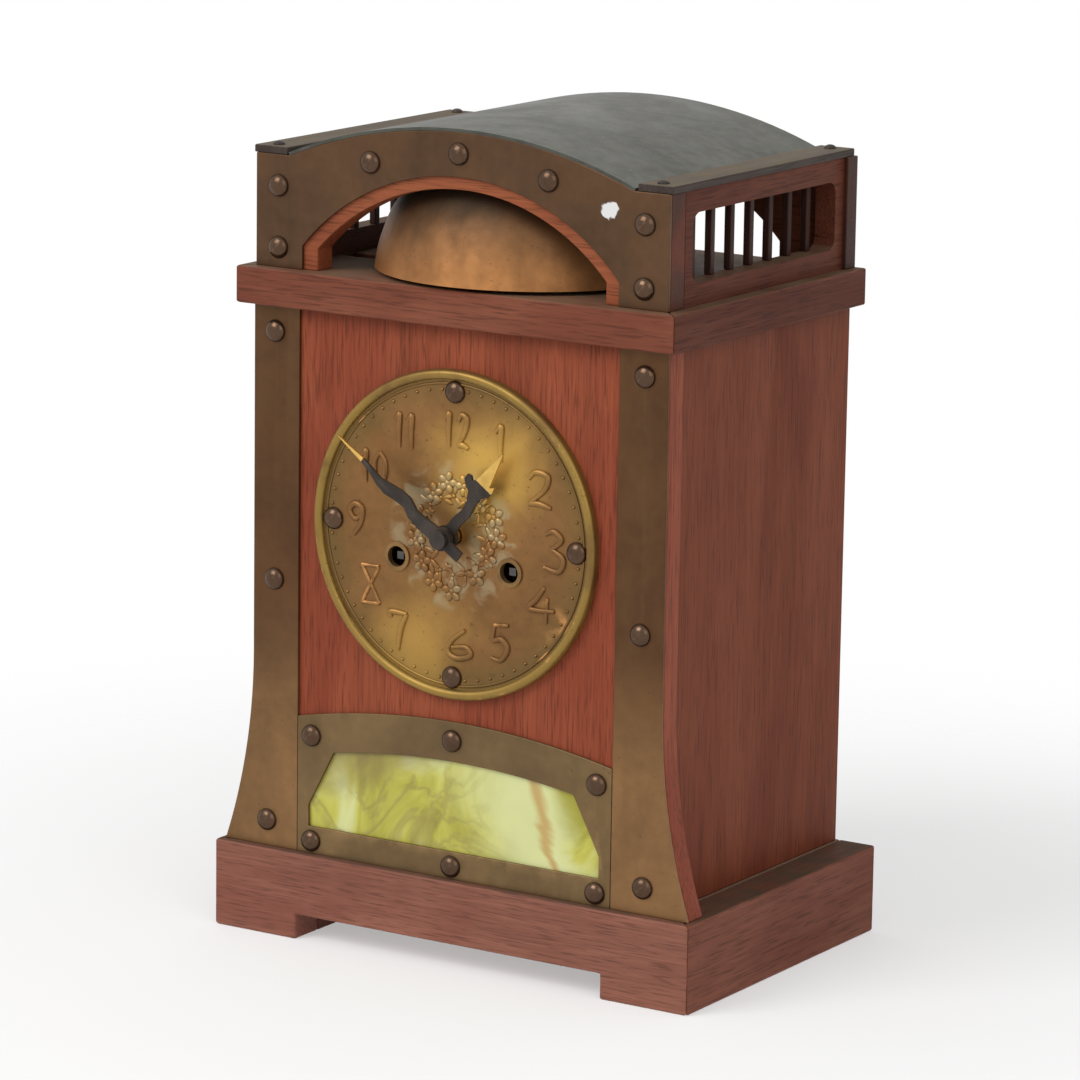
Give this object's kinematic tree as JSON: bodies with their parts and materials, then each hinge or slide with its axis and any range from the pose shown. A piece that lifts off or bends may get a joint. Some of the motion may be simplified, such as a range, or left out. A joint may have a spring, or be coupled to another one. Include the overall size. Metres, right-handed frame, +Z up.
{
  "type": "mantel clock",
  "caption": "Wooden mantel clock with brass corner straps, an embossed round dial, a coloured glass panel and a bell in an open arched chamber under a vaulted metal roof.",
  "frame": {"origin": "centre of the overall box at the bottom of the feet", "axes": "+Z up, the dial faces -Y, +X to the right of the dial"},
  "size_m": [0.222, 0.1558, 0.3312],
  "materials": {
    "case_wood": "stained and waxed mahogany",
    "batten_wood": "darkened",
    "roof_metal": "dark patina",
    "iron": "blackened",
    "patinated_brass": "brown patina",
    "stud_bronze": "dark polished",
    "dial_brass": "worn gilt",
    "slag_glass": "marbled opalescent",
    "bell_metal": "satin",
    "dark_steel": "blackened",
    "steel": "plain",
    "movement_brass": "plain"
  },
  "bodies": {
    "case": {"back_plate": "movement_brass", "back_rails": "case_wood", "batten_nails": "iron", "belfry_back_board": "case_wood", "belfry_front_board": "case_wood", "belfry_plate": "patinated_brass", "belfry_side_left": "case_wood", "belfry_side_right": "case_wood", "bell": "bell_metal", "bell_deck": "case_wood", "bell_nut": "steel", "bell_post": "steel", "case_hinge_leaves": "movement_brass", "cornice_front": "case_wood", "cornice_sides": "case_wood", "dial_plate": "dial_brass", "dome_studs": "stud_bronze", "front_board": "case_wood", "front_plate": "movement_brass", "grille_slats": "case_wood", "movement_posts": "movement_brass", "panel_frame": "patinated_brass", "plate_pillars": "movement_brass", "plinth_board": "case_wood", "plinth_front": "case_wood", "plinth_sides": "case_wood", "roof_battens": "batten_wood", "roof_sheet": "roof_metal", "side_panel_left": "case_wood", "side_panel_right": "case_wood", "slag_glass": "slag_glass", "strap_left": "patinated_brass", "strap_right": "patinated_brass", "suspension_cock": "movement_brass", "winding_grommets": "dial_brass"},
    "minute_hand_body": {"minute_hand": "dark_steel", "cannon_pinion": "movement_brass", "hand_nut": "dark_steel"},
    "hour_hand_body": {"hour_hand": "dark_steel", "hour_wheel": "movement_brass"},
    "minute_wheel_body": {"minute_wheel": "movement_brass"},
    "escape_wheel_body": {"escape_wheel": "movement_brass"},
    "third_wheel_body": {"third_wheel": "movement_brass"},
    "centre_wheel_body": {"centre_wheel": "movement_brass"},
    "going_barrel_body": {"going_barrel": "movement_brass"},
    "fly_body": {"fly": "movement_brass"},
    "warning_wheel_body": {"warning_wheel": "movement_brass"},
    "pin_wheel_body": {"pin_wheel": "movement_brass"},
    "strike_barrel_body": {"strike_barrel": "movement_brass"},
    "going_winder_body": {"going_winder": "steel"},
    "strike_winder_body": {"strike_winder": "steel"},
    "going_click_body": {"going_click": "steel"},
    "strike_click_body": {"strike_click": "steel"},
    "pendulum": {"pendulum_rod": "steel", "pendulum_bob": "movement_brass"},
    "anchor_body": {"anchor": "steel"},
    "hammer_body": {"hammer": "steel"},
    "door": {"back_door": "case_wood", "door_hinge_leaves": "movement_brass"},
    "button": {"turn_button": "movement_brass"}
  },
  "joints": [
    {"name": "minute_hand_turn", "type": "hinge", "parent": "case", "child": "minute_hand_body", "pos_m": [0, -0.0357, 0.1733], "axis": [0, 1, 0], "continuous": true},
    {"name": "hour_hand_turn", "type": "hinge", "parent": "case", "child": "hour_hand_body", "pos_m": [0, -0.0357, 0.1733], "axis": [0, 1, 0], "continuous": true},
    {"name": "minute_wheel_turn", "type": "hinge", "parent": "case", "child": "minute_wheel_body", "pos_m": [0, -0.0357, 0.1913], "axis": [0, 1, 0], "continuous": true},
    {"name": "escape_wheel_turn", "type": "hinge", "parent": "case", "child": "escape_wheel_body", "pos_m": [0, -0.0357, 0.20024], "axis": [0, 1, 0], "continuous": true},
    {"name": "third_wheel_turn", "type": "hinge", "parent": "case", "child": "third_wheel_body", "pos_m": [0.008, -0.0357, 0.18773], "axis": [0, 1, 0], "continuous": true},
    {"name": "centre_wheel_turn", "type": "hinge", "parent": "case", "child": "centre_wheel_body", "pos_m": [0, -0.0357, 0.1733], "axis": [0, 1, 0], "continuous": true},
    {"name": "going_barrel_turn", "type": "hinge", "parent": "case", "child": "going_barrel_body", "pos_m": [0.026, -0.0357, 0.1619], "axis": [0, 1, 0], "continuous": true},
    {"name": "fly_turn", "type": "hinge", "parent": "case", "child": "fly_body", "pos_m": [-0.0265, -0.0357, 0.20809], "axis": [0, 1, 0], "continuous": true},
    {"name": "warning_wheel_turn", "type": "hinge", "parent": "case", "child": "warning_wheel_body", "pos_m": [-0.0185, -0.0357, 0.20005], "axis": [0, 1, 0], "continuous": true},
    {"name": "pin_wheel_turn", "type": "hinge", "parent": "case", "child": "pin_wheel_body", "pos_m": [-0.03, -0.0357, 0.19042], "axis": [0, 1, 0], "continuous": true},
    {"name": "strike_barrel_turn", "type": "hinge", "parent": "case", "child": "strike_barrel_body", "pos_m": [-0.026, -0.0357, 0.1619], "axis": [0, 1, 0], "continuous": true},
    {"name": "going_winder_turn", "type": "hinge", "parent": "case", "child": "going_winder_body", "pos_m": [0.026, -0.0357, 0.1619], "axis": [0, 1, 0], "continuous": true},
    {"name": "strike_winder_turn", "type": "hinge", "parent": "case", "child": "strike_winder_body", "pos_m": [-0.026, -0.0357, 0.1619], "axis": [0, 1, 0], "continuous": true},
    {"name": "going_click_lift", "type": "hinge", "parent": "case", "child": "going_click_body", "pos_m": [0.0365, -0.0357, 0.1745], "axis": [0, 1, 0], "range_deg": [-12, 0]},
    {"name": "strike_click_lift", "type": "hinge", "parent": "case", "child": "strike_click_body", "pos_m": [-0.0365, -0.0357, 0.1745], "axis": [0, 1, 0], "range_deg": [0, 12]},
    {"name": "pendulum_swing", "type": "hinge", "parent": "case", "child": "pendulum", "pos_m": [0, -0.0357, 0.21525], "axis": [0, 1, 0], "range_deg": [-4, 4]},
    {"name": "anchor_rock", "type": "hinge", "parent": "case", "child": "anchor_body", "pos_m": [0, -0.0357, 0.21525], "axis": [0, 1, 0], "range_deg": [-4, 4]},
    {"name": "hammer_lift", "type": "hinge", "parent": "case", "child": "hammer_body", "pos_m": [-0.044, -0.0357, 0.203], "axis": [0, 1, 0], "range_deg": [0, 10]},
    {"name": "door_swing", "type": "hinge", "parent": "case", "child": "door", "pos_m": [-0.0851, 0.0763, 0.1475], "axis": [0, 0, 1], "range_deg": [0, 105]},
    {"name": "button_turn", "type": "hinge", "parent": "case", "child": "button", "pos_m": [0.0898, -0.0357, 0.1475], "axis": [0, 1, 0], "range_deg": [-90, 0]}
  ],
  "couplings": [
    {"joint": "minute_wheel_turn", "follows": "minute_hand_turn", "ratio": -0.33333},
    {"joint": "hour_hand_turn", "follows": "minute_hand_turn", "ratio": 0.083333},
    {"joint": "third_wheel_turn", "follows": "escape_wheel_turn", "ratio": -0.1},
    {"joint": "centre_wheel_turn", "follows": "escape_wheel_turn", "ratio": 0.01},
    {"joint": "going_barrel_turn", "follows": "escape_wheel_turn", "ratio": -0.0018333},
    {"joint": "warning_wheel_turn", "follows": "fly_turn", "ratio": -0.125},
    {"joint": "pin_wheel_turn", "follows": "fly_turn", "ratio": 0.013889},
    {"joint": "strike_barrel_turn", "follows": "fly_turn", "ratio": -0.0027778},
    {"joint": "anchor_rock", "follows": "pendulum_swing", "ratio": 1}
  ]
}
